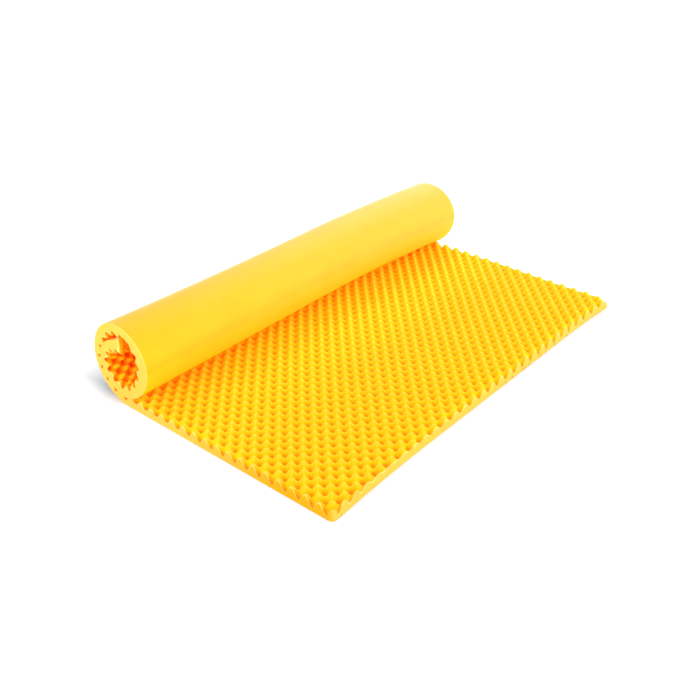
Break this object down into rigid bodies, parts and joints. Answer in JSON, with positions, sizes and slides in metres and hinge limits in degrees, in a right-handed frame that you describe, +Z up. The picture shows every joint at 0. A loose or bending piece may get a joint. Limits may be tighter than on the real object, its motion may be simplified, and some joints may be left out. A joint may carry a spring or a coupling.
{
  "type": "mattress topper",
  "caption": "Convoluted foam mattress topper, bumpy side up, part laid flat and the rest wound into a loose open roll, smooth side out.",
  "frame": {"origin": "middle of the footprint, on the floor under the topper", "axes": "+X across the topper along the roll's axis, +Y from the front cut to the roll, +Z up"},
  "size_m": [1.5, 0.952, 0.2845],
  "materials": {
    "foam": "matte open-cell foam, dyed yellow"
  },
  "bodies": {
    "root": {"topper": "foam"}
  },
  "joints": []
}
